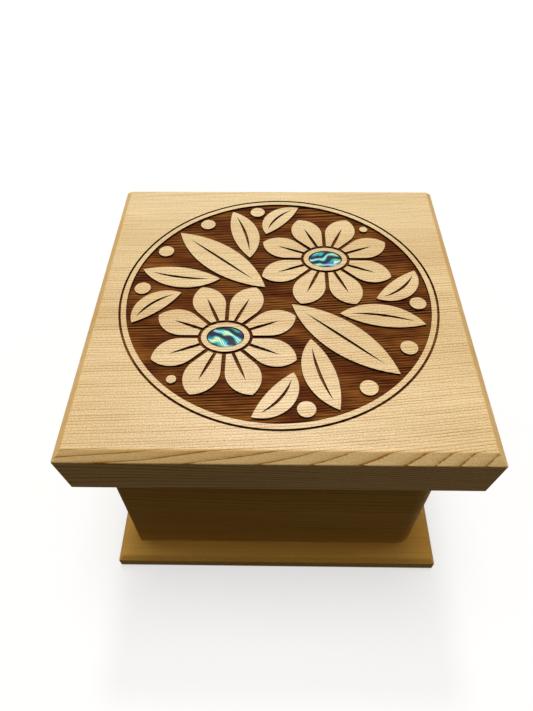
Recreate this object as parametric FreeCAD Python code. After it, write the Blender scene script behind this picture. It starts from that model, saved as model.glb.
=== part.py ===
import FreeCAD
import Part
import math
import os

# A bentwood keepsake box. One plank is kerfed on its inner face, bent round three corners and pegged
# at the fourth. It stands on a wider base plank, and a thick bevelled lid with an engraved medallion
# lifts straight off. Millimetres, +Z up, the front faces -Y, the origin is under the middle of the base.

# Base plank
BASE_STEP = 11.4
BASE_THICK = 10.0
BASE_ROUND = 3.0
BASE_EASE = 0.8
PLATEAU_RISE = 4.0
PLATEAU_CLEAR = 0.2

# Side plank, bent into a square tube
BODY_SIZE = 162.5
BODY_HEIGHT = 95.0
WALL = 12.0
BEND_RADIUS = 10.0
KERF_WIDTH = 0.4
KERF_SKIN = 4.0
KERF_RELIEF = 0.8
LAP_THICK = 3.5
LAP_EASE = 1.2
GLUE_GAP = 0.15

# Lid plank
LID_OVERHANG = 13.75
LID_THICK = 30.0
LID_BEVEL = 4.3
LID_SIDE_LEAN = 1.5

# Plug under the lid, a loose fit inside the walls
PLUG_THICK = 9.0
PLUG_CLEAR = 1.5
PLUG_LEAD = 2.0

# Wooden pegs
PEG_FIT = 0.04
PEG_LEAD = 0.8
PEG_FLUSH = 0.2
BASE_PEG = 5.0
BASE_PEG_GRIP = 18.0
BASE_PEG_SPACE = 8.0
CORNER_PEG = 4.5
CORNER_PEG_GRIP = 22.0
CORNER_PEG_COUNT = 4
CORNER_PEG_INSET = 14.0
PLUG_PEG = 5.0
PLUG_PEG_GRIP = 12.0
PLUG_PEG_INSET = 22.0

# Oval shell inlays
SHELL_LONG = 18.0
SHELL_SHORT = 13.0
SHELL_THICK = 2.0
SHELL_EASE = 0.3
SHELL_FIT = 0.15
SHELL_SETBACK = 0.2

# Engraved medallion: two blossoms and two sprays of leaves left standing in a sunk ground
ENGRAVE_DEPTH = 1.2
MEDALLION_MARGIN = 9.2
RIM_GROOVE = 1.2
RIM_BAND = 2.6
RIM_GAP = 2.4
SHELL_BAND = 2.8
SHELL_GROOVE = 1.6
BLOSSOM_GAP = 2.6
BLOSSOM_ANGLE = 48.0
PETAL_COUNT = 8
PETAL_POINT = 17.0
PETAL_GAP = 2.0
PETAL_SLIT = 1.8
LEAF_VEIN = 1.5
MAIN_LEAF_LENGTH = 66.0
MAIN_LEAF_WIDTH = 20.0
SIDE_LEAF_LENGTH = 42.0
SIDE_LEAF_WIDTH = 15.0
OUTER_LEAF_LENGTH = 25.0
OUTER_LEAF_WIDTH = 13.0
BERRY = 8.4
SMALL_BERRY = 4.6

V = FreeCAD.Vector
UP = V(0, 0, 1)
RIGHT = V(1, 0, 0)
OVERCUT = 1.0

BASE_TOP = BASE_THICK
FLOOR = BASE_TOP + PLATEAU_RISE
LID_BOTTOM = BASE_TOP + BODY_HEIGHT
LID_TOP = LID_BOTTOM + LID_THICK
HALF_BODY = BODY_SIZE / 2
HALF_INNER = HALF_BODY - WALL
HALF_BASE = HALF_BODY + BASE_STEP
HALF_LID = HALF_BODY + LID_OVERHANG
PLUG_BOTTOM = LID_BOTTOM - PLUG_THICK
PLUG_HALF = HALF_INNER - PLUG_CLEAR
MEDALLION_RADIUS = HALF_LID - LID_BEVEL - MEDALLION_MARGIN
GROUND_RADIUS = MEDALLION_RADIUS - RIM_GROOVE - RIM_BAND
LEAF_REACH = GROUND_RADIUS - RIM_GAP
BLOSSOM_RADIUS = (LEAF_REACH - BLOSSOM_GAP / 2) / 2
PETAL_SHOULDER = BLOSSOM_RADIUS - PETAL_POINT


def polar(radius, degrees, centre=V(0, 0, 0)):
    angle = math.radians(degrees)
    return centre + V(radius * math.cos(angle), radius * math.sin(angle), 0)


def arc(start, through, end):
    return Part.Arc(start, through, end).toShape()


def prism(edges, bottom, top):
    face = Part.Face(Part.Wire(edges))
    face.translate(V(0, 0, bottom))
    return face.extrude(V(0, 0, top - bottom))


def square_prism(half, bottom, top):
    return Part.makeBox(2 * half, 2 * half, top - bottom, V(-half, -half, bottom))


def disc(radius, bottom, top):
    return Part.makeCylinder(radius, top - bottom, V(0, 0, bottom))


def oval(long_axis, short_axis, centre, bottom, top):
    edge = Part.Ellipse(centre, long_axis / 2, short_axis / 2).toShape()
    return prism([edge], bottom, top)


def moulded_board(edges, half):
    """A square board with the same edge profile, drawn in XZ, worked along all four sides."""
    face = Part.Face(Part.Wire(edges))
    face.translate(V(0, -half, 0))
    along_y = face.extrude(V(0, 2 * half, 0))
    along_x = along_y.copy()
    along_x.rotate(V(0, 0, 0), UP, 90)
    return along_y.common(along_x)


def outline(points):
    """Straight edges through XZ points, closed."""
    corners = [V(x, 0, z) for x, z in points]
    return [Part.makeLine(a, b) for a, b in zip(corners, corners[1:] + corners[:1])]


def peg(diameter, length, foot, axis):
    """A peg from its flush end at foot, with a tapered lead at the far end."""
    radius = diameter / 2 - PEG_FIT
    shank = Part.makeCylinder(radius, length - PEG_LEAD, foot, axis)
    lead_foot = foot + axis * (length - PEG_LEAD)
    lead = Part.makeCone(radius, radius - PEG_LEAD / 2, PEG_LEAD, lead_foot, axis)
    return shank.fuse(lead).removeSplitter()


def peg_hole(diameter, length, mouth, axis):
    return Part.makeCylinder(diameter / 2, length + 2 * OVERCUT, mouth - axis * OVERCUT, axis)


base_peg_length = BASE_THICK + BASE_PEG_GRIP
corner_peg_length = WALL + CORNER_PEG_GRIP
plug_peg_length = PLUG_THICK + PLUG_PEG_GRIP

# The corner pegs enter the left face and run into the front wall behind its lap
corner_peg_span = BODY_HEIGHT - 2 * CORNER_PEG_INSET
corner_peg_y = -HALF_BODY + (LAP_THICK + GLUE_GAP + WALL) / 2
corner_peg_feet = []
for i in range(CORNER_PEG_COUNT):
    rise = CORNER_PEG_INSET + corner_peg_span * i / (CORNER_PEG_COUNT - 1)
    corner_peg_feet.append(V(-HALF_BODY, corner_peg_y, BASE_TOP + rise))

# Two base pegs stand in the middle of each wall's thickness, clear of the corner pegs' ends
base_peg_reach = HALF_BODY - corner_peg_length - BASE_PEG_SPACE - BASE_PEG / 2
base_peg_feet = []
for side in range(4):
    for end in (-1, 1):
        spot = V(end * base_peg_reach, -HALF_BODY + WALL / 2, 0)
        base_peg_feet.append(FreeCAD.Rotation(UP, 90 * side).multVec(spot))

plug_peg_reach = PLUG_HALF - PLUG_PEG_INSET
plug_peg_feet = [V(x * plug_peg_reach, y * plug_peg_reach, PLUG_BOTTOM)
                 for x, y in ((-1, -1), (1, -1), (1, 1), (-1, 1))]


def base_plank():
    h = HALF_BASE
    r = BASE_ROUND
    swing = r * (1 - math.sqrt(0.5))
    edges = [
        Part.makeLine(V(-h + BASE_EASE, 0, 0), V(h - BASE_EASE, 0, 0)),
        Part.makeLine(V(h - BASE_EASE, 0, 0), V(h, 0, BASE_EASE)),
        Part.makeLine(V(h, 0, BASE_EASE), V(h, 0, BASE_TOP - r)),
        arc(V(h, 0, BASE_TOP - r), V(h - swing, 0, BASE_TOP - swing), V(h - r, 0, BASE_TOP)),
        Part.makeLine(V(h - r, 0, BASE_TOP), V(-h + r, 0, BASE_TOP)),
        arc(V(-h + r, 0, BASE_TOP), V(-h + swing, 0, BASE_TOP - swing), V(-h, 0, BASE_TOP - r)),
        Part.makeLine(V(-h, 0, BASE_TOP - r), V(-h, 0, BASE_EASE)),
        Part.makeLine(V(-h, 0, BASE_EASE), V(-h + BASE_EASE, 0, 0)),
    ]
    board = moulded_board(edges, h)
    plateau = square_prism(HALF_INNER - PLATEAU_CLEAR, BASE_TOP / 2, FLOOR)
    board = board.fuse(plateau).removeSplitter()
    return board.cut([peg_hole(BASE_PEG, base_peg_length, foot, UP) for foot in base_peg_feet])


def upright(shape, x, y):
    """The vertical edge of shape that stands at x, y."""
    spot = V(x, y, shape.BoundBox.Center.z)
    return min(shape.Edges, key=lambda edge: edge.CenterOfMass.distanceToPoint(spot))


def side_plank():
    h = HALF_BODY
    top = LID_BOTTOM
    tube = square_prism(h, BASE_TOP, top)
    tube = tube.makeFillet(BEND_RADIUS, [upright(tube, x, y) for x, y in ((h, -h), (h, h), (-h, h))])
    tube = tube.makeFillet(LAP_EASE, [upright(tube, -h, -h)])
    tube = tube.cut(square_prism(HALF_INNER, BASE_TOP - OVERCUT, top + OVERCUT))

    # A closed kerf runs from each bent inner corner towards the outside, and ends in a small round
    bend_depth = (WALL - BEND_RADIUS) * math.sqrt(2) + BEND_RADIUS
    kerf_length = bend_depth - KERF_SKIN
    cuts = []
    for turn in (-45, 45, 135):
        slit = Part.makeBox(kerf_length + OVERCUT, KERF_WIDTH, top - BASE_TOP + 2 * OVERCUT,
                            V(-OVERCUT, -KERF_WIDTH / 2, BASE_TOP - OVERCUT))
        relief = disc(KERF_RELIEF, BASE_TOP - OVERCUT, top + OVERCUT)
        relief.translate(V(kerf_length, 0, 0))
        kerf = slit.fuse(relief)
        kerf.rotate(V(0, 0, 0), UP, turn)
        kerf.translate(polar(HALF_INNER * math.sqrt(2), turn))
        cuts.append(kerf)

    # The plank's two ends meet at the left front: the front end laps over the left end
    lap_y = -h + LAP_THICK
    shoulder_x = -h + WALL
    tall = top - BASE_TOP + 2 * OVERCUT
    foot = BASE_TOP - OVERCUT
    cuts.append(Part.makeBox(WALL + GLUE_GAP + OVERCUT, GLUE_GAP, tall, V(-h - OVERCUT, lap_y, foot)))
    cuts.append(Part.makeBox(GLUE_GAP, WALL - LAP_THICK + OVERCUT, tall, V(shoulder_x, lap_y, foot)))
    cuts += [peg_hole(BASE_PEG, base_peg_length, p, UP) for p in base_peg_feet]
    cuts += [peg_hole(CORNER_PEG, corner_peg_length, p, RIGHT) for p in corner_peg_feet]
    return tube.cut(cuts)


def arc_leaving(start, heading, end):
    """The arc that leaves start along the unit vector heading and ends at end."""
    chord = end - start
    normal = V(-heading.y, heading.x, 0)
    radius = chord.dot(chord) / (2 * chord.dot(normal))
    centre = start + normal * radius
    outward = ((start + end) / 2 - centre).normalize()
    return arc(start, centre + outward * abs(radius), end)


def leaf(base, tip, bend, width, bottom, top):
    """A pointed leaf between two arcs. bend bows its midrib to the left of base to tip."""
    along = tip - base
    left = V(-along.y, along.x, 0).normalize()
    middle = (base + tip) / 2
    edges = [
        arc(base, middle + left * (bend + width / 2), tip),
        arc(tip, middle + left * (bend - width / 2), base),
    ]
    return prism(edges, bottom, top)


def veined_leaf(base, tip, bend, width, bottom, top):
    """A leaf with a fine vein cut along the middle three quarters of its midrib."""
    along = tip - base
    left = V(-along.y, along.x, 0).normalize()
    rib_base = base + along / 8 + left * bend * 7 / 16
    rib_tip = tip - along / 8 + left * bend * 7 / 16
    rib = leaf(rib_base, rib_tip, bend * 9 / 16, LEAF_VEIN, bottom - OVERCUT, top + OVERCUT)
    return leaf(base, tip, bend, width, bottom, top).cut(rib)


def petal(centre, degrees, bottom, top):
    """A petal whose straight flanks run beside its neighbours and whose tip is an ogive."""
    turn = FreeCAD.Rotation(UP, degrees)
    half_sector = math.pi / PETAL_COUNT
    heart = PETAL_GAP / 2 / math.sin(half_sector)
    right_way = V(math.cos(half_sector), -math.sin(half_sector), 0)
    left_way = V(math.cos(half_sector), math.sin(half_sector), 0)
    flank = (PETAL_SHOULDER - heart) / math.cos(half_sector)

    def at(point):
        return centre + turn.multVec(point)

    root = at(V(heart, 0, 0))
    right = at(V(heart, 0, 0) + right_way * flank)
    tip = at(V(BLOSSOM_RADIUS, 0, 0))
    left = at(V(heart, 0, 0) + left_way * flank)
    edges = [
        Part.makeLine(root, right),
        arc_leaving(right, turn.multVec(right_way), tip),
        arc_leaving(left, turn.multVec(left_way), tip),
        Part.makeLine(left, root),
    ]
    slit_end = (PETAL_SHOULDER + BLOSSOM_RADIUS) / 2
    slit = leaf(root, at(V(slit_end, 0, 0)), 0, PETAL_SLIT, bottom - OVERCUT, top + OVERCUT)
    return prism(edges, bottom, top).cut(slit)


blossom_offset = LEAF_REACH - BLOSSOM_RADIUS
blossom_centres = [polar(blossom_offset, BLOSSOM_ANGLE), polar(blossom_offset, BLOSSOM_ANGLE + 180)]


def standing_motifs(bottom, top):
    """Everything in the medallion that is left at the height of the lid's top."""
    motifs = [disc(MEDALLION_RADIUS - RIM_GROOVE, bottom, top).cut(disc(GROUND_RADIUS, bottom, top))]
    band = 2 * SHELL_BAND
    groove = band + 2 * SHELL_GROOVE
    for centre in blossom_centres:
        motifs.append(oval(SHELL_LONG + band, SHELL_SHORT + band, centre, bottom, top))
        eye = oval(SHELL_LONG + groove, SHELL_SHORT + groove, centre, bottom - OVERCUT, top + OVERCUT)
        for i in range(PETAL_COUNT):
            motifs.append(petal(centre, 360 * (i + 0.5) / PETAL_COUNT, bottom, top).cut(eye))
    for spray in (BLOSSOM_ANGLE + 90, BLOSSOM_ANGLE + 270):
        sprig = [(MAIN_LEAF_LENGTH, 0, 0, 0, MAIN_LEAF_WIDTH)]
        berries = [(SMALL_BERRY, -90)]
        for hand in (-1, 1):
            sprig.append((SIDE_LEAF_LENGTH, hand * 20, hand * 27, hand * 2.5, SIDE_LEAF_WIDTH))
            sprig.append((OUTER_LEAF_LENGTH, hand * 40, hand * 57, hand * -4, OUTER_LEAF_WIDTH))
            berries.append((BERRY, hand * 13))
            berries.append((BERRY, hand * 38))
        for length, root_turn, tip_turn, bend, width in sprig:
            base = polar(LEAF_REACH - length, spray + root_turn)
            tip = polar(LEAF_REACH, spray + tip_turn)
            motifs.append(veined_leaf(base, tip, bend, width, bottom, top))
        for size, turn in berries:
            berry = disc(size / 2, bottom, top)
            berry.translate(polar(LEAF_REACH - size / 2, spray + turn))
            motifs.append(berry)
    return motifs


def lid_plank():
    h = HALF_LID
    lean = h - LID_SIDE_LEAN
    bevel = h - LID_BEVEL
    shoulder = LID_TOP - LID_BEVEL
    edges = outline([(-lean, LID_BOTTOM), (lean, LID_BOTTOM), (h, shoulder),
                     (bevel, LID_TOP), (-bevel, LID_TOP), (-h, shoulder)])
    board = moulded_board(edges, h)
    ground = disc(MEDALLION_RADIUS, LID_TOP - ENGRAVE_DEPTH, LID_TOP + OVERCUT)
    ground = ground.cut(standing_motifs(LID_TOP - ENGRAVE_DEPTH - OVERCUT, LID_TOP + 2 * OVERCUT))
    cuts = [ground]
    pocket = SHELL_SETBACK + SHELL_THICK
    fit = 2 * SHELL_FIT
    for centre in blossom_centres:
        cuts.append(oval(SHELL_LONG + fit, SHELL_SHORT + fit, centre, LID_TOP - pocket, LID_TOP + OVERCUT))
    cuts += [peg_hole(PLUG_PEG, plug_peg_length, foot, UP) for foot in plug_peg_feet]
    return board.cut(cuts)


def lid_plug():
    foot = PLUG_HALF - PLUG_LEAD
    edges = outline([(-foot, PLUG_BOTTOM), (foot, PLUG_BOTTOM), (PLUG_HALF, PLUG_BOTTOM + PLUG_LEAD),
                     (PLUG_HALF, LID_BOTTOM), (-PLUG_HALF, LID_BOTTOM),
                     (-PLUG_HALF, PLUG_BOTTOM + PLUG_LEAD)])
    board = moulded_board(edges, PLUG_HALF)
    return board.cut([peg_hole(PLUG_PEG, plug_peg_length, foot, UP) for foot in plug_peg_feet])


def shell_inlay(centre):
    bottom = LID_TOP - SHELL_SETBACK - SHELL_THICK
    plate = oval(SHELL_LONG, SHELL_SHORT, centre, bottom, LID_TOP - SHELL_SETBACK)
    rim = max(plate.Edges, key=lambda edge: edge.CenterOfMass.z)
    return plate.makeChamfer(SHELL_EASE, [rim])


nodes = {
    "base_plank": base_plank(),
    "side_plank": side_plank(),
    "lid_plank": lid_plank(),
    "lid_plug": lid_plug(),
}
for name, centre in zip(("shell_inlay_right", "shell_inlay_left"), blossom_centres):
    nodes[name] = shell_inlay(centre)
for i, foot in enumerate(base_peg_feet, 1):
    nodes[f"base_peg_{i}"] = peg(BASE_PEG, base_peg_length - PEG_FLUSH, foot + UP * PEG_FLUSH, UP)
for i, foot in enumerate(corner_peg_feet, 1):
    nodes[f"corner_peg_{i}"] = peg(CORNER_PEG, corner_peg_length, foot, RIGHT)
for i, foot in enumerate(plug_peg_feet, 1):
    nodes[f"lid_peg_{i}"] = peg(PLUG_PEG, plug_peg_length, foot, UP)

os.makedirs("parts", exist_ok=True)
for name, shape in nodes.items():
    shape.exportStep(f"parts/{name}.step")
    print(name, "valid", shape.isValid(), "solids", len(shape.Solids), "volume", round(shape.Volume))
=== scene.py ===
# %% [markdown]
# # A bentwood keepsake box
# The walls of this box are one cedar plank, sawn part-way through at three corners, steamed and folded
# into a square ring. The ring stands on a wider base and wears a thick bevelled lid. The lid's top
# carries an engraved medallion and two polished shell inlays.
#
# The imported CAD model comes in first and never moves. Each piece below takes its shape or its size from
# it, so the two agree, and Blender adds eased edges, charred grain and the finishes.

# %% Load the fixed frame
import math

import bmesh
import bpy
from mathutils import Matrix, Vector


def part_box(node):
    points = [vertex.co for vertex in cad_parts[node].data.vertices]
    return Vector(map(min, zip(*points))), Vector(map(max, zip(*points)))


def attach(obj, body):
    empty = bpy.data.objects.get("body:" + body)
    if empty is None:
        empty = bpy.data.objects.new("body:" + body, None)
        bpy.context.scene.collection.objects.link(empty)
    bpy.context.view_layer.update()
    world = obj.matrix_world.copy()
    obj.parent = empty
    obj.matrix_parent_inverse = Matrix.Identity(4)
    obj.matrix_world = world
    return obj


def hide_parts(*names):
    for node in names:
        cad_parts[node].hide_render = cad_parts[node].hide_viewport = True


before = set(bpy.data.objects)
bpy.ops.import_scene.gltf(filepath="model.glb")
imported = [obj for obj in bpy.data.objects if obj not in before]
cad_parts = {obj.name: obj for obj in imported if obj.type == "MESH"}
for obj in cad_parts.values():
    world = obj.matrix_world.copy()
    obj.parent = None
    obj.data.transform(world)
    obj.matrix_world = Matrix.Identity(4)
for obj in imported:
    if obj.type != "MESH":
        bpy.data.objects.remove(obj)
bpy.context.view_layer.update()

MM = 0.001
print("CAD nodes:", len(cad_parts))

# %% [markdown]
# ## Shader sums written as sums
# A growth ring, a scorched groove and a vein of shell are all small formulas. They could be wired node by
# node in the editor, but there the formula is lost among the links. The class below holds one output
# socket instead, so that an expression such as 1 - line * 0.5 adds its own Math nodes. Every other kind
# of node comes from one method that takes its type, its settings and its inputs.


# %% A socket that takes part in sums
class Shade:
    """One output socket of a node tree. Arithmetic on it adds Math nodes to that tree."""

    def __init__(self, tree, socket=None):
        self.tree = tree
        self.socket = socket

    def node(self, kind, settings=None, inputs=None, output=0):
        """Add a node: first its settings, then its inputs as values or links. Returns one output."""
        made = self.tree.nodes.new("ShaderNode" + kind)
        for name, value in (settings or {}).items():
            if name == "stops":
                self.set_stops(made.color_ramp, value)
            else:
                setattr(made, name, value)
        for name, value in (inputs or {}).items():
            if isinstance(value, Shade):
                self.tree.links.new(value.socket, made.inputs[name])
            else:
                made.inputs[name].default_value = value
        return Shade(self.tree, made.outputs[output])

    @staticmethod
    def set_stops(ramp, stops):
        while len(ramp.elements) < len(stops):
            ramp.elements.new(0.5)
        for element, (position, colour) in zip(ramp.elements, stops):
            element.position = position
            element.color = (*colour, 1.0)

    def math(self, operation, *others):
        return self.node("Math", {"operation": operation}, dict(enumerate((self, *others))))

    def __add__(self, other):
        return self.math("ADD", other)

    def __sub__(self, other):
        return self.math("SUBTRACT", other)

    def __rsub__(self, other):
        return self.node("Math", {"operation": "SUBTRACT"}, {0: other, 1: self})

    def __mul__(self, other):
        return self.math("MULTIPLY", other)

    def __truediv__(self, other):
        return self.math("DIVIDE", other)

    __radd__ = __add__
    __rmul__ = __mul__

    def parts(self):
        """The three numbers of a vector."""
        first = self.node("SeparateXYZ", {}, {0: self})
        return [Shade(self.tree, out) for out in first.socket.node.outputs]

    def times(self, factors):
        """A vector stretched by three factors."""
        return self.node("VectorMath", {"operation": "MULTIPLY"}, {0: self, 1: factors})

    def noise(self, factors, detail=3.0, roughness=0.5, output="Fac"):
        """Soft noise on this vector, stretched by factors."""
        inputs = {"Vector": self.times(factors), "Scale": 1.0, "Detail": detail, "Roughness": roughness}
        return self.node("TexNoise", {}, inputs, output)

    def curve(self, *stops):
        """A number led through (position, value) stops."""
        greys = [(position, (value,) * 3) for position, value in stops]
        return self.colours(*greys)

    def colours(self, *stops):
        """A colour led through (position, colour) stops."""
        return self.node("ValToRGB", {"stops": stops}, {"Fac": self})

    def blend(self, first, second):
        """Two colours mixed, with this number as the share of the second."""
        paints = [c if isinstance(c, Shade) else (*c, 1.0) for c in (first, second)]
        return self.node("Mix", {"data_type": "RGBA"}, {0: self, 6: paints[0], 7: paints[1]}, 2)

    def tinted(self, tint, share):
        """This colour multiplied by another, as far as share says."""
        settings = {"data_type": "RGBA", "blend_type": "MULTIPLY"}
        return self.node("Mix", settings, {0: share, 6: self, 7: tint}, 2)

    def bump(self, strength, depth):
        """A surface normal raised by this number, depth in millimetres."""
        return self.node("Bump", {}, {"Height": self, "Strength": strength, "Distance": depth * MM})


def start_finish(name):
    """A new material: the material, its shader and the place on the piece in millimetres."""
    material = bpy.data.materials.new(name)
    material.use_nodes = True
    tree = material.node_tree
    shader = tree.nodes["Principled BSDF"]
    place = Shade(tree).node("TexCoord", output="Object")
    return material, shader, place.times((1 / MM,) * 3)


def wire(shader, **shades):
    """Links shades to the shader's sockets by name, with _ for the spaces."""
    for name, shade in shades.items():
        shade.tree.links.new(shade.socket, shader.inputs[name.replace("_", " ")])


print("Shade adds nodes for + - * / and makes any other node by its type")

# %% [markdown]
# ## Growth rings
# A plank is a slice through a tree, so its lines are where nested tubes of growth meet the saw cut.
# Stripes drawn on each face would never agree at the edges. Instead one formula counts the rings between
# the tree's pith and a point inside the board. Where the lid's top shows fine straight lines, its bevel
# then shows the long slanting ones of the real lid without any further work.
#
# The formula is used twice: in the shader, and in Python to carve the charred grain. So it calls sine
# and root by helpers that take either a socket or a plain number.
#
# Each board has its own numbers: where the pith lies, across the board and up. How far the grain drifts
# and bows sideways along the board. How much it twists below a face. How many millimetres one ring takes,
# how wild the rings run, and up to which ring the lines stay faint, as they do in young wood.


# %% Count the rings at a point
def sine(value):
    return value.math("SINE") if isinstance(value, Shade) else math.sin(value)


def root(value):
    return value.math("SQRT") if isinstance(value, Shade) else math.sqrt(value)


def ripple(along, across, turns, height, start=0.0):
    """A wave over a board: its turns per mm along and across, its height and where it starts."""
    return sine(along * turns[0] + across * turns[1] + start) * height


def ring_count(along, across, up, board):
    """Rings between the pith and a point, in mm along the grain, across the board and up through it."""
    side = across - board["pith"][0] - along * board["drift"] - along * along * board["bow"]
    rise = up - board["pith"][1]
    sway = ripple(along, across, (0.043, 0.032), 0.5) + ripple(along, across, (0.11, -0.05), 0.16)
    count = (root(side * side + rise * rise) + sway * board["wild"]) / board["ring"]
    count = count + along * (up - board["face"]) * board["twist"]
    good_and_bad_years = sine(count * 0.53) * 0.35 + sine(count * 1.37 + 1) * 0.2
    return count + good_and_bad_years * board["wild"]


lid_low, lid_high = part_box("lid_plank")
LID_TOP = lid_high.z / MM
plain_wood = {"bow": 0.0, "face": 0.0, "twist": 0.0, "wild": 0.8, "faint": -100}
lid_wood = {**plain_wood, "pith": (130, LID_TOP - 130), "drift": 0.08, "ring": 1.25, "bow": 0.0003,
            "face": LID_TOP, "twist": 0.002, "wild": 0.4, "faint": 100}
base_wood = {**plain_wood, "pith": (-260, -150), "drift": 0.02, "ring": 2.0, "bow": 0.0001}
plug_wood = {**plain_wood, "pith": (90, 260), "drift": -0.03, "ring": 2.2}
wall_wood = {**plain_wood, "pith": (140, 95), "drift": -0.03, "ring": 1.6, "wild": 1.2}
across_lid = [ring_count(0, y / MM, LID_TOP, lid_wood) for y in (lid_low.y, lid_high.y)]
print("rings across the lid's top:", round(abs(across_lid[1] - across_lid[0])))

# %% [markdown]
# ## Yellow cedar
# Yellow cedar is a pale straw wood with a satin glow. Each ring ends in a thin brown line of dense late
# wood, some rings stronger than others, and the fibres run as fine streaks along the grain. A ready-made
# wave texture has neither, so the finish mixes its own: slow drifts of tone, then ring lines, then
# streaks. Sawn ends drink more oil than the faces do, so they turn a little darker.
#
# The lid's top is polished until the fibres sparkle, and the other faces are only oiled. One function
# makes them all, and its numbers say how glossy or dull the wood is, how dark and how wide its lines are,
# how much its mottling shows and how its fibres sparkle.

# %% Rings that end in a dark line
YOUNG_RINGS = 100


def ring_strength(count):
    """A chance number from 0 to 1 that is the same all along a ring."""
    ring = count.math("FLOOR")
    return ring.node("TexWhiteNoise", {"noise_dimensions": "1D"}, {"W": ring}, "Value")


def late_wood(count, share):
    """0 in the pale wood of each ring, rising to 1 in its last share."""
    begin = 1 - share
    darkest = 1 - share * 0.5
    end = 1 - share * 0.15
    return count.math("FRACT").curve((0.0, 0.0), (begin - 0.35, 0.05), (begin, 0.3),
                                     (darkest, 1.0), (end, 0.9), (1.0, 0.0))


def line_shade(count, late, fade, faint):
    """How dark a ring's line is: it fades in places, and is faint in young wood."""
    grown = ((count - faint) / YOUNG_RINGS).curve((0.1, 0.4), (0.5, 1.0))
    return late * fade * grown * (ring_strength(count) * 0.5 + 0.35)


print("lines are full grown", YOUNG_RINGS // 2, "rings past the faint ones")

# %% Mix the cedar
STRAW = ((0.785, 0.605, 0.32), (0.64, 0.44, 0.19))
# Lid sides and bevel: the top's board made warmer and brighter, as painted light on the bevel.
LIT_TAN = ((0.86, 0.625, 0.30), (0.70, 0.46, 0.18))
# Walls, base and plug: the lid's cedar made darker and more orange, as painted shade and warm bounce
# light.
SHADED_AMBER = ((0.64, 0.385, 0.092), (0.51, 0.262, 0.05))
LATE_BROWN = (0.42, 0.18, 0.02)
END_BROWN = (0.44, 0.25, 0.085)
STREAKS = ((0.37, (0.74, 0.68, 0.58)), (0.5, (1.0, 0.99, 0.97)), (0.63, (1.15, 1.15, 1.14)))
FIBRE_DEPTH = 0.4


def cedar(name, wood, tones, gloss=0.015, dull=0.45, lines=1.0, line_share=0.2, mottle=0.5, sparkle=0.2,
          attribute=None):
    """Cedar with its grain along X, or along the x of an attribute on a bent board."""
    material, shader, place = start_finish(name)
    if attribute:
        place = place.node("Attribute", {"attribute_name": attribute}, output="Vector")
    fibre = place.noise((0.03, 1.3, 1.3), detail=4.0, roughness=0.6)
    speck = place.noise((1.3, 2.4, 2.4), detail=1.0)
    fade = place.noise((0.03, 0.4, 0.4), detail=2.0).curve((0.3, 0.5), (0.52, 1.0))
    slow = place.noise((0.006, 0.035, 0.035), detail=1.0)
    count = ring_count(*place.parts(), wood) + fibre * 0.18
    late = late_wood(count, line_share)
    line = line_shade(count, late, fade, wood["faint"]) * lines
    colour = slow.curve((0.35, 0.0), (0.75, 0.7)).blend(*tones)
    colour = line.blend(colour, LATE_BROWN)
    colour = colour.tinted((fibre * 0.35 + speck * 0.65).colours(*STREAKS), mottle)
    if not attribute:
        sawn_end = place.node("TexCoord", output="Normal").parts()[0].math("ABSOLUTE")
        colour = (sawn_end.curve((0.5, 0.0), (0.95, 1.0)) * 0.5).blend(colour, END_BROWN)
    relief = fibre * 0.3 + speck * 0.7 + late * 0.1
    wire(shader, Base_Color=colour, Roughness=fibre * 0.08 + speck * 0.1 + line * 0.1 + dull,
         Normal=relief.bump(sparkle, FIBRE_DEPTH))
    shader.inputs["Specular IOR Level"].default_value = gloss
    return material


# The lid's sides and bevel take the warmer, brighter tan tone: painted light, not another wood.
lid_cedar = cedar("lid_cedar", lid_wood, LIT_TAN, lines=2.0, line_share=0.15)
top_cedar = cedar("lid_top_cedar", lid_wood, STRAW, gloss=0.5, dull=0.17, lines=1.4, line_share=0.3,
                  mottle=0.9, sparkle=0.45)
# The walls, base and plug take the darker orange tone: painted shade and warm bounce light, not another
# wood.
base_cedar = cedar("base_cedar", base_wood, SHADED_AMBER, lines=0.35)
plug_cedar = cedar("plug_cedar", plug_wood, SHADED_AMBER)
wall_cedar = cedar("wall_cedar", wall_wood, SHADED_AMBER, lines=1.2, line_share=0.3, attribute="plank")
print("cedar nodes:", len(lid_cedar.node_tree.nodes))

# %% [markdown]
# ## Charred wood
# The sunk ground of the medallion was burned away. Soft early wood burned deeper than the hard ring
# lines, so the ground is ridged along the grain and banded dark and golden brown. The cut edges stand
# upright and are burned almost black, which draws a crisp dark line round every leaf.
#
# How deep the ridges go drifts over the lid, smooth here and furrowed there. A noise texture could give
# that drift to the shader but not to the carving, so it is a sum of sines that both can work out.


# %% Mix the charred ground and the burned edge
CHAR_DARK = (0.02, 0.005, 0.002)
CHAR_BROWN = (0.118, 0.028, 0.005)
CHAR_GOLD = (0.31, 0.113, 0.019)
SOOT = (0.012, 0.004, 0.0025)
SOOT_BROWN = (0.055, 0.018, 0.008)
CHAR_GLOSS = 0.02
GROOVE_SHIFT = 0.4


def furrowed(x, y):
    """How furrowed the burned ground is at a place on the lid, from 0 to 1."""
    return ripple(x, y, (0.031, 0.17), 0.25, 1.0) + ripple(x, y, (-0.043, 0.29), 0.25) + 0.5


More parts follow.
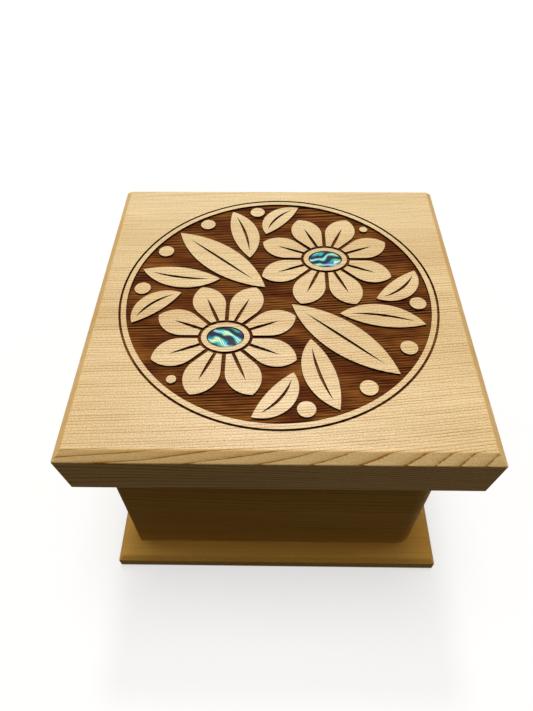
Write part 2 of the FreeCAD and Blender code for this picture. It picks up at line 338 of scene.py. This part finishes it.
def charred_ground_finish():
    material, shader, place = start_finish("charred_ground")
    x, y, _ = place.parts()
    fibre = place.noise((0.07, 1.5, 0.2), detail=4.0, roughness=0.65)
    patch = place.noise((0.035, 0.08, 0.0), detail=2.0)
    count = ring_count(x, y, LID_TOP, lid_wood) + fibre * 0.25 + GROOVE_SHIFT
    groove = count.math("FRACT").curve((0.2, 0.0), (0.38, 0.85), (0.5, 1.0), (0.64, 0.8), (0.8, 0.0))
    groove = groove * (furrowed(x, y) * 0.7 + 0.35) * (ring_strength(count) * 0.9 + 0.5)
    depth = groove + fibre.curve((0.3, 0.5), (0.45, 0.0))
    brown = (fibre * 0.45 + patch * 0.55).curve((0.45, 0.0), (0.64, 1.0)).blend(CHAR_BROWN, CHAR_GOLD)
    colour = depth.math("MINIMUM", 1.0).blend(brown, CHAR_DARK)
    wire(shader, Base_Color=colour, Roughness=0.6 - fibre * 0.3, Normal=fibre.bump(0.5, FIBRE_DEPTH))
    shader.inputs["Specular IOR Level"].default_value = CHAR_GLOSS
    return material


def burned_edge_finish():
    material, shader, place = start_finish("burned_edge")
    soot = place.noise((0.8, 0.8, 0.25))
    colour = soot.curve((0.35, 0.0), (0.8, 1.0)).blend(SOOT, SOOT_BROWN)
    wire(shader, Base_Color=colour, Roughness=soot * 0.3 + 0.6)
    shader.inputs["Specular IOR Level"].default_value = CHAR_GLOSS
    return material


charred_ground = charred_ground_finish()
burned_edge = burned_edge_finish()
print("charred finishes:", charred_ground.name, burned_edge.name)

# %% [markdown]
# ## From a CAD node to a finished piece
# A CAD mesh is loose triangles with knife-sharp edges. Real boards have their edges eased with a few
# strokes of sandpaper, and the thin bright line of an eased edge is what makes wood look solid. A Bevel
# modifier would ease the engraving as well, so a copy of each node is merged and only chosen edges are
# bevelled. Faces that meet softly are then shaded as one.


# %% Copy, ease and clean
SAME_POINT = 0.002 * MM
TINY = 0.01 * MM


def merged_copy(node):
    mesh = bmesh.new()
    mesh.from_mesh(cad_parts[node].data)
    bmesh.ops.remove_doubles(mesh, verts=mesh.verts, dist=SAME_POINT)
    return mesh


def middle_of(edge):
    return (edge.verts[0].co + edge.verts[1].co) / 2


def turns_more(edge, degrees):
    return len(edge.link_faces) == 2 and edge.calc_face_angle() > math.radians(degrees)


def round_edges(mesh, edges, width):
    bmesh.ops.bevel(mesh, geom=edges, offset=width, offset_type="OFFSET", segments=3,
                    profile=0.5, affect="EDGES", material=-1, clamp_overlap=True)


def ease(mesh, width, wanted, degrees=15):
    """Rounds the edges that turn by more than some degrees and whose middle is wanted."""
    edges = [e for e in mesh.edges if turns_more(e, degrees) and wanted(middle_of(e))]
    round_edges(mesh, edges, width)
    bmesh.ops.remove_doubles(mesh, verts=mesh.verts, dist=TINY)
    bmesh.ops.dissolve_degenerate(mesh, edges=mesh.edges, dist=TINY)
    return len(edges)


print("points closer than", TINY / MM, "mm become one after easing")

# %% Make the finished piece
SOFT_TURN = 32


def finish_piece(mesh, name, body, finishes, stands_for):
    """Turns a bmesh into a shaded object that rides on a body in place of a CAD node."""
    for face in mesh.faces:
        face.smooth = True
    for edge in mesh.edges:
        edge.smooth = not turns_more(edge, SOFT_TURN)
    data = bpy.data.meshes.new(name)
    mesh.to_mesh(data)
    mesh.free()
    for finish in finishes:
        data.materials.append(finish)
    piece = bpy.data.objects.new(name, data)
    bpy.context.scene.collection.objects.link(piece)
    piece.modifiers.new("even_normals", "WEIGHTED_NORMAL").keep_sharp = True
    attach(piece, body)
    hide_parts(stands_for)
    print(name, len(data.polygons), "faces")


print("faces within", SOFT_TURN, "degrees are shaded as one")

# %% [markdown]
# ## The lid
# The lid is one thick board with a bevel planed round its top. Its outer edges are eased, while the
# burned cuts stay crisp. The finishes could be painted on as masks, but each face already shows by where
# it is what it was on the real lid: the polished top, the sunk ground of the medallion, the upright cuts
# round it, and oiled cedar everywhere else.

# %% Ease the lid and sort its faces
SIDE_FACE, TOP_FACE, GROUND_FACE, EDGE_FACE = range(4)
LID_EASE = 0.5 * MM
RIM = lid_high.x - 6 * MM
SUNK_FLOOR = lid_high.z - 1.2 * MM
POCKET_FLOOR = lid_high.z - 2.4 * MM
NEARLY_LEVEL = 0.05 * MM
UPRIGHT = 0.5


def on_rim(point):
    return max(abs(point.x), abs(point.y)) > RIM


lid_mesh = merged_copy("lid_plank")
print("lid edges eased:", ease(lid_mesh, LID_EASE, on_rim))
for face in lid_mesh.faces:
    middle = face.calc_center_median()
    if middle.z > lid_high.z - TINY:
        face.material_index = TOP_FACE
    elif on_rim(middle) or middle.z < POCKET_FLOOR:
        face.material_index = SIDE_FACE
    elif abs(face.normal.z) < UPRIGHT:
        face.material_index = EDGE_FACE
    elif abs(middle.z - SUNK_FLOOR) < NEARLY_LEVEL:
        face.material_index = GROUND_FACE
ground = [f for f in lid_mesh.faces if f.material_index == GROUND_FACE]
print("sunk floor faces:", len(ground))

# %% [markdown]
# ## Furrows in the burned ground
# Light rakes over the burned ground and picks out its furrows, so they are real shape and not only a
# trick of the shader. A displacement would need a fine grid over the whole lid. Instead the floor alone is
# sliced into narrow strips, across the grain and then along it, and each point inside is lifted by the
# ring formula. The points along the cuts stay put, so the lid remains one closed solid. Slicing in halves
# keeps each cut small and the whole quick.


# %% Slice the floor and lift the ridges
RIDGE = 0.34 * MM
STRIP = 0.35 * MM
STEP = 4.0 * MM
SNAP = 0.02 * MM
REACH = 1.05 * RIM
FURROW_AT = 0.15
SMOOTHEST = 0.35
grain_way = Vector((1, lid_wood["drift"], 0)).normalized()
across_way = Vector((-grain_way.y, grain_way.x, 0))


def slice_faces(mesh, faces, way, low, high, width):
    """Cuts faces square to a direction, by halves, until each strip is no wider than width."""
    if high - low <= width or not faces:
        return faces
    middle = (low + high) / 2
    around = {part for face in faces for part in (face, *face.edges, *face.verts)}
    cut = bmesh.ops.bisect_plane(mesh, geom=list(around), plane_co=way * middle, plane_no=way, dist=SNAP)
    cut_faces = [part for part in cut["geom"] if isinstance(part, bmesh.types.BMFace)]
    near = [f for f in cut_faces if f.calc_center_median().dot(way) < middle]
    far = [f for f in cut_faces if f.calc_center_median().dot(way) >= middle]
    return (slice_faces(mesh, near, way, low, middle, width)
            + slice_faces(mesh, far, way, middle, high, width))


def ridge_height(x, y):
    """How far the burned ground stands above or below its middle level, at a place in mm."""
    turns = ring_count(x, y, LID_TOP, lid_wood) - FURROW_AT
    return -0.5 * math.cos(2 * math.pi * turns) * (SMOOTHEST + (1 - SMOOTHEST) * furrowed(x, y))


ground = slice_faces(lid_mesh, ground, grain_way, -REACH, REACH, STEP)
ground = slice_faces(lid_mesh, ground, across_way, -REACH, REACH, STRIP)
inner = {v for f in ground for v in f.verts if all(g.material_index == GROUND_FACE for g in v.link_faces)}
for vert in inner:
    vert.co.z += RIDGE * ridge_height(vert.co.x / MM, vert.co.y / MM)
print("ground faces:", len(ground), "points lifted:", len(inner))
finish_piece(lid_mesh, "lid_board", "lid",
             [lid_cedar, top_cedar, charred_ground, burned_edge], "lid_plank")

# %% [markdown]
# ## The folded walls
# The grain of a bentwood box runs unbroken round its bent corners, because the four walls are one
# plank. Object coordinates would cut straight through the corner instead. So every corner of every face
# keeps, as an attribute, where it lay on the flat plank: along it, up its width and into its thickness.
# The mesh is first cut at the ends of the bends, so that no face is half straight and half bent. The
# unrolled plank is measured in millimetres, as the ring formula wants it.

# %% Unroll the walls
BEND = 10.0
THICK = 12.0
LAP = 3.55
wall_low, wall_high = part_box("side_plank")
HALF = wall_high.x / MM
FLAT = HALF - BEND
TURN = BEND * math.pi / 2
RUN = 2 * FLAT + TURN


def facing(point, wall):
    """A point turned so that a wall, counted from the front by way of the right, becomes the front one."""
    x, y = point.x / MM, point.y / MM
    return [(x, y), (y, -x), (-x, -y), (-y, x)][wall]


def wall_at(point):
    """Which wall a face belongs to. At the closing joint the front wall laps the left one's end."""
    x, y = facing(point, 0)
    if x < THICK - HALF and y < THICK - HALF:
        return 0 if y < LAP - HALF else 3
    if abs(x) > abs(y):
        return 1 if x > 0 else 3
    return 2 if y > 0 else 0


def bend_at(point):
    """The wall that ends in the bend a face belongs to, or None on a straight run."""
    for wall in range(3):
        x, y = facing(point, wall)
        if x > FLAT and y < -FLAT:
            return wall
    return None


def unroll(point, middle):
    """Where a point of the face at middle lay on the flat plank, in mm."""
    bend = bend_at(middle)
    if bend is None:
        wall = wall_at(middle)
        x, y = facing(point, wall)
        return wall * RUN + x + FLAT, point.z / MM, y + HALF
    x, y = facing(point, bend)
    angle = min(max(math.atan2(x - FLAT, -FLAT - y), 0.0), math.pi / 2)
    return bend * RUN + 2 * FLAT + angle * BEND, point.z / MM, BEND - math.hypot(x - FLAT, y + FLAT)


print("the unrolled plank is", round(4 * RUN - TURN), "mm long")

# %% Ease the rim and finish the walls
WALL_EASE = 0.4 * MM
RIGHT_ANGLES_ONLY = 60
FACE_DEPTH = 0.05
BEND_DEPTH = 0.1
EXACT = 0.001 * MM


def on_outer_rim(point):
    """On the upper edge of the walls, on their outside."""
    near, far = sorted((abs(point.x) / MM, abs(point.y) / MM))
    on_wall = far > HALF - FACE_DEPTH
    on_bend = near > FLAT and math.hypot(near - FLAT, far - FLAT) > BEND - BEND_DEPTH
    return (on_wall or on_bend) and point.z > wall_high.z - TINY


wall_mesh = merged_copy("side_plank")
print("rim edges eased:", ease(wall_mesh, WALL_EASE, on_outer_rim, RIGHT_ANGLES_ONLY))
for way in (Vector((1, 0, 0)), Vector((0, 1, 0))):
    for side in (-FLAT, FLAT):
        parts = [*wall_mesh.verts, *wall_mesh.edges, *wall_mesh.faces]
        spot = way * side * MM
        bmesh.ops.bisect_plane(wall_mesh, geom=parts, plane_co=spot, plane_no=way, dist=EXACT)
plank = wall_mesh.loops.layers.float_vector.new("plank")
for face in wall_mesh.faces:
    middle = face.calc_center_median()
    for loop in face.loops:
        loop[plank] = unroll(loop.vert.co, middle)
finish_piece(wall_mesh, "folded_walls", "box", [wall_cedar], "side_plank")

# %% [markdown]
# ## Base and plug
# The base is a wider board. The CAD rounds its top edge over, and on the real box the light along that
# edge shows a shallow slope with a crisp line above it. A new board could be built with that slope, but
# the peg holes would have to be cut again. So the points of the round are gathered into two lines, one
# along the top and one along the side, and merging them leaves the slope between.
#
# The plug is a plain board under the lid that drops inside the walls and keeps the lid in place. It keeps
# its CAD shape, with its edges softened as by sandpaper.

# %% Plane the base's edge
ROUND = 3.0 * MM
SLOPE_IN = 2.3 * MM
SLOPE_DOWN = 2.6 * MM
BASE_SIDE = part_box("base_plank")[1].x
BASE_TOP = wall_low.z


def on_round(inward, down):
    """Whether a point is on the rounded edge, by how far it is in from the side and down from the top."""
    return inward <= ROUND + TINY and -TINY < down < ROUND + TINY


def plane_round(mesh):
    """Gathers the points of the round into the upper and the lower line of a slope."""
    gathered = 0
    for vert in mesh.verts:
        reach = max(abs(vert.co.x), abs(vert.co.y))
        inward = BASE_SIDE - reach
        down = BASE_TOP - vert.co.z
        if not on_round(inward, down):
            continue
        upper = inward > down
        line = BASE_SIDE - (SLOPE_IN if upper else 0.0)
        for axis in (0, 1):
            if reach - abs(vert.co[axis]) < TINY:
                vert.co[axis] = math.copysign(line, vert.co[axis])
        vert.co.z = BASE_TOP - (0.0 if upper else SLOPE_DOWN)
        gathered += 1
    bmesh.ops.remove_doubles(mesh, verts=mesh.verts, dist=TINY)
    return gathered


base_mesh = merged_copy("base_plank")
print("points gathered into the slope:", plane_round(base_mesh))

# %% Finish the base and the plug
BASE_EASE = 0.4 * MM
BASE_CORNER = 5 * MM
BASE_TURN = 25
PLUG_EASE = 0.5 * MM
PLUG_EDGE = 3 * MM
PLUG_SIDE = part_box("lid_plug")[1].x


def on_base_edge(point):
    """On the base's slope, or at one of its corners."""
    near, far = sorted((abs(point.x), abs(point.y)))
    return near > BASE_SIDE - BASE_CORNER or (far > BASE_SIDE - ROUND and point.z > BASE_TOP - ROUND)


def on_plug_outside(point):
    return max(abs(point.x), abs(point.y)) > PLUG_SIDE - PLUG_EDGE


print("base edges eased:", ease(base_mesh, BASE_EASE, on_base_edge, BASE_TURN))
finish_piece(base_mesh, "base_board", "box", [base_cedar], "base_plank")
plug_mesh = merged_copy("lid_plug")
print("plug edges eased:", ease(plug_mesh, PLUG_EASE, on_plug_outside))
finish_piece(plug_mesh, "plug_board", "lid", [plug_cedar], "lid_plug")

# %% [markdown]
# ## Shell inlays
# The inlays are ovals of sea shell, ground nearly flat and polished. Shell grows in thin wavy layers that
# split light into blue, sea green, violet and pearl, with slate-dark seams between them. True thin-film
# colours would change with every view and couldn't be baked, so they are painted. Layers that swirl are
# plain bands on a place that noise has pushed about, so one warped place drives the layers, their fine
# lines and the pearl glints, which are partly the shell's pearl and partly painted highlight. A dark line
# of glue runs round each oval, and a clear coat gives the polish.

# %% Mix the shell
SLATE = (0.012, 0.02, 0.022)
PEARL = (0.88, 0.92, 0.80)
GLUE = (0.012, 0.008, 0.006)
VIOLET_TO_PEARL = ((0.25, (0.10, 0.07, 0.40)), (0.38, (0.05, 0.16, 0.72)), (0.5, (0.02, 0.62, 0.72)),
                   (0.6, (0.04, 0.62, 0.30)), (0.72, (0.55, 0.80, 0.42)))
SWIRL = 11
LAYER_DEPTH = 0.2


def glue_line(place, node):
    """1 in a thin line round an inlay's edge, and 0 inside it."""
    low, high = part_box(node)
    middle, half = (low + high) / 2 / MM, (high - low) / 2 / MM
    x, y, _ = place.parts()
    across, along = (x - middle.x) / half.x, (y - middle.y) / half.y
    return root(across * across + along * along).curve((0.9, 0.0), (0.97, 1.0))


def shell_finish(node, turn):
    """Polished shell for one inlay, its layers turned by some radians."""
    material, shader, place = start_finish(node + "_finish")
    swirl = place.noise((0.12, 0.12, 0.0), detail=1.0, output="Color")
    push = {0: swirl, 1: (SWIRL, SWIRL, 0), 2: place}
    pushed = place.node("VectorMath", {"operation": "MULTIPLY_ADD"}, push)
    turned = pushed.node("Mapping", {}, {"Vector": pushed, "Rotation": (0, 0, turn)})
    x, y, _ = turned.parts()
    layer = sine(y * 1.05 + sine(x * 0.32) * 0.9) * 0.5 + 0.5
    fine = sine(y * 6.0 + x * 0.7) * 0.5 + 0.5
    patch = turned.noise((0.16, 0.3, 0.0), detail=1.0)
    colour = (patch * 1.4 + layer * 0.2 + fine * 0.06 - 0.36).colours(*VIOLET_TO_PEARL)
    colour = layer.curve((0.22, 0.0), (0.5, 0.6), (0.8, 1.0)).blend(SLATE, colour)
    # Near-white flecks on the layer crests: partly the shell's own pearl, partly painted highlight.
    pearl_and_painted_glint = (layer * 0.75 + fine * 0.25).curve((0.78, 0.0), (0.94, 0.9))
    colour = glue_line(place, node).blend(pearl_and_painted_glint.blend(colour, PEARL), GLUE)
    relief = layer * 0.7 + fine * 0.3
    wire(shader, Base_Color=colour, Roughness=fine * 0.1 + 0.2, Normal=relief.bump(0.2, LAYER_DEPTH))
    shader.inputs["Specular IOR Level"].default_value = 0.1
    shader.inputs["Coat Weight"].default_value = 0.3
    shader.inputs["Coat Roughness"].default_value = 0.04
    return material


shell_finishes = {"shell_inlay_left": shell_finish("shell_inlay_left", 0.5),
                  "shell_inlay_right": shell_finish("shell_inlay_right", -0.3)}
print("shell finishes:", len(shell_finishes))

# %% [markdown]
# A scaled sphere would crown the inlay too much, because the real one is nearly flat. So it starts as a
# flat disc. It is scaled to the oval, extruded to its thickness, and its top is inset a few times with
# each ring a little higher, which domes it as a polishing wheel would.

# %% Shape the inlays
EDGE_ROUND = 0.25 * MM
DOME = 0.15 * MM
DOME_STEPS = 4
STEP_SHARE = 0.17
FACING_UP = 0.9
OVAL_POINTS = 96


def oval_disc(low, high):
    """A flat oval slab that fills a box, but for the height of its dome."""
    middle, half = (low + high) / 2, (high - low) / 2
    mesh = bmesh.new()
    bmesh.ops.create_circle(mesh, cap_ends=True, segments=OVAL_POINTS, radius=1.0)
    bmesh.ops.scale(mesh, vec=(half.x, half.y, 1.0), verts=mesh.verts)
    bmesh.ops.translate(mesh, vec=(middle.x, middle.y, low.z), verts=mesh.verts)
    walls = bmesh.ops.extrude_face_region(mesh, geom=mesh.faces[:])["geom"]
    raised = [part for part in walls if isinstance(part, bmesh.types.BMVert)]
    bmesh.ops.translate(mesh, vec=(0, 0, high.z - low.z - DOME), verts=raised)
    bmesh.ops.recalc_face_normals(mesh, faces=mesh.faces)
    return mesh


def dome(mesh, step):
    """Rounds the upper edge and raises the top in rings of some width."""
    top = max(mesh.faces, key=lambda f: f.calc_center_median().z)
    round_edges(mesh, top.edges[:], EDGE_ROUND)
    for _ in range(DOME_STEPS):
        top = max(mesh.faces, key=lambda f: (f.normal.z > FACING_UP, len(f.verts)))
        bmesh.ops.inset_region(mesh, faces=[top], thickness=step, use_even_offset=True)
        for vert in top.verts:
            vert.co.z += DOME / DOME_STEPS


for node, finish in shell_finishes.items():
    low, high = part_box(node)
    inlay = oval_disc(low, high)
    dome(inlay, STEP_SHARE * (high.y - low.y) / 2)
    finish_piece(inlay, node.replace("inlay", "oval"), "lid", [finish], node)

# %% [markdown]
# ## Pegs
# Turned pegs of a harder, redder wood hold the closing corner, the base and the plug, and only their ends
# show. The CAD pegs already have the right shape, so they stay and get a new finish. A peg is a stick
# split from near the heart of a branch, so its rings run round a pith just beside its own axis.


# %% Finish the pegs
PEG_PALE = (0.42, 0.20, 0.075)
PEG_DARK = (0.20, 0.075, 0.025)
PEG_GLOSS = 0.02
PITH_ASIDE = 1.5
PORE_DEPTH = 0.2


def peg_finish(name, low, high):
    """Hard wood for one peg, with rings round a pith that lies to one side of its axis."""
    material, shader, place = start_finish(name)
    size = high - low
    middle = (low + high) / 2 / MM
    long_axis = max(range(3), key=lambda axis: size[axis])
    spots = place.parts()
    x, y = [spots[axis] - middle[axis] + PITH_ASIDE for axis in range(3) if axis != long_axis]
    pore = place.noise((2.2, 2.2, 2.2), detail=2.0)
    rings = sine(root(x * x + y * y) * 7.0 + pore * 2.0) * 0.5 + 0.5
    colour = (rings * 0.6 + pore * 0.4).blend(PEG_PALE, PEG_DARK)
    wire(shader, Base_Color=colour, Roughness=pore * 0.3 + 0.4, Normal=pore.bump(0.2, PORE_DEPTH))
    shader.inputs["Specular IOR Level"].default_value = PEG_GLOSS
    return material


pegs = [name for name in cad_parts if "peg" in name]
for name in pegs:
    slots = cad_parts[name].data.materials
    slots.clear()
    slots.append(peg_finish(name + "_finish", *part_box(name)))
print("pegs finished:", len(pegs))

# %% [markdown]
# ## Floor, light and camera
# The box stands on a plain pale floor under a soft ceiling light. A window behind it makes the polished
# top shine, and two low windows behind its left and right light its sides. An even sky would flood the
# front, which is in shade on the real box, so the sky is bright overhead and dark near the ground.
#
# More light would make the floor white but bleach the wood. Instead a Light Path node shows floor and
# sky pale to the camera and in reflections, and the floor keeps the shadow.


# %% Floor
FLOOR_GAP = 0.2 * MM
FLOOR_RADIUS = 4.0
FLOOR_SHADE = (0.04, 0.024, 0.01)
FLOOR_WHITE = (0.4, 0.4, 0.4)
FLOOR_GLOW = (0.6, 0.6, 0.6)


def seen_ray(tree):
    """1 on rays from the camera, a mirror or glass, and 0 on rays that only light the object."""
    camera_ray = Shade(tree).node("LightPath", output="Is Camera Ray")
    rays = {out.name: Shade(tree, out) for out in camera_ray.socket.node.outputs}
    mirror_ray = rays["Is Glossy Ray"].math("MAXIMUM", rays["Is Transmission Ray"])
    return camera_ray.math("MAXIMUM", mirror_ray)


floor_mesh = bmesh.new()
bmesh.ops.create_circle(floor_mesh, cap_ends=True, segments=64, radius=FLOOR_RADIUS)
bmesh.ops.translate(floor_mesh, vec=(0, 0, -FLOOR_GAP), verts=floor_mesh.verts)
floor_data = bpy.data.meshes.new("floor")
floor_mesh.to_mesh(floor_data)
floor_mesh.free()
floor = bpy.data.objects.new("floor", floor_data)
bpy.context.scene.collection.objects.link(floor)
floor_finish, floor_shader, _ = start_finish("pale_floor")
floor_seen = seen_ray(floor_finish.node_tree)
wire(floor_shader, Base_Color=floor_seen.blend(FLOOR_SHADE, FLOOR_WHITE),
     Emission_Color=floor_seen.blend((0, 0, 0), FLOOR_GLOW))
floor_shader.inputs["Emission Strength"].default_value = 1.0
floor_shader.inputs["Roughness"].default_value = 0.9
floor_shader.inputs["Specular IOR Level"].default_value = 0.0
floor_data.materials.append(floor_finish)
print("floor", 2 * FLOOR_RADIUS, "m wide")

# %% Sky
SKY_LOW = (0.012, 0.009, 0.005)
SKY_HIGH = (0.82, 0.74, 0.6)
SKY_WHITE = (1, 1, 1)
SKY_STEEPNESS = 4.0

world = bpy.data.worlds.new("studio")
bpy.context.scene.world = world
world.use_nodes = True
sky_seen = seen_ray(world.node_tree)
height = sky_seen.node("TexCoord", output="Generated").parts()[2].math("MAXIMUM", 0.0)
sky = height.math("POWER", SKY_STEEPNESS).blend(SKY_LOW, SKY_HIGH)
wire(world.node_tree.nodes["Background"], Color=sky_seen.blend(sky, SKY_WHITE))
print("the sky is", SKY_LOW, "near the ground and", SKY_HIGH, "overhead")


# %% Light
def soft_sun(name, azimuth, elevation, spread, strength):
    """A soft light from far away. Azimuth 0 is behind the box, and grows towards its right."""
    light = bpy.data.lights.new(name, "SUN")
    light.angle = math.radians(spread)
    light.energy = strength
    lamp = bpy.data.objects.new(name, light)
    lamp.rotation_euler = (math.radians(90 - elevation), 0, math.radians(180 - azimuth))
    bpy.context.scene.collection.objects.link(lamp)
    aim = lamp.rotation_euler.to_matrix() @ Vector((0, 0, -1))
    print(name, "shines along", [round(c, 2) for c in aim])


soft_sun("ceiling_light", azimuth=0, elevation=85, spread=30, strength=1.55)
soft_sun("back_window", azimuth=-3, elevation=62, spread=8, strength=0.8)
soft_sun("left_window", azimuth=-68, elevation=14, spread=30, strength=0.56)
soft_sun("right_window", azimuth=68, elevation=14, spread=30, strength=0.42)

# %% [markdown]
# The camera stands in front of the box and looks down on the lid. It could be aimed at a target, but
# then its roll and its distance would be hard to match. So its place is given by how far it is, in
# millimetres, from the middle of the lid's widest line, and its aim by three turns.

# %% Camera
PITCH = math.radians(50.74)
YAW = math.radians(-1.222)
ROLL = math.radians(-0.554)
FOCAL_PIXELS = 557.7
IMAGE_HEIGHT = 711
SENSOR = 36.0
LID_RIGHT, LID_BELOW, LID_AHEAD = 6.42, -28.17, 290.83
LID_BEVEL = 4.3
ahead = Vector((0, math.cos(PITCH), -math.sin(PITCH)))
below = Vector((0, -math.sin(PITCH), -math.cos(PITCH)))
right = Vector((1, 0, 0))
spot = -(LID_RIGHT * right + LID_BELOW * below + LID_AHEAD * ahead)
rolled_right = math.cos(ROLL) * right - math.sin(ROLL) * below
rolled_below = math.sin(ROLL) * right + math.cos(ROLL) * below
turn = Matrix.Rotation(-YAW, 3, "Z")
axes = Matrix((turn @ rolled_right, turn @ -rolled_below, turn @ -ahead)).transposed().to_4x4()
camera_data = bpy.data.cameras.new("camera")
camera_data.lens = FOCAL_PIXELS / IMAGE_HEIGHT * SENSOR
camera_data.sensor_width = SENSOR
camera = bpy.data.objects.new("camera", camera_data)
widest_line = Vector((0, 0, LID_TOP - LID_BEVEL))
camera.matrix_world = Matrix.Translation((turn @ spot + widest_line) * MM) @ axes
bpy.context.scene.collection.objects.link(camera)
bpy.context.scene.camera = camera
bpy.context.scene.view_settings.view_transform = "Standard"
print("camera at", [round(c, 3) for c in camera.matrix_world.translation])
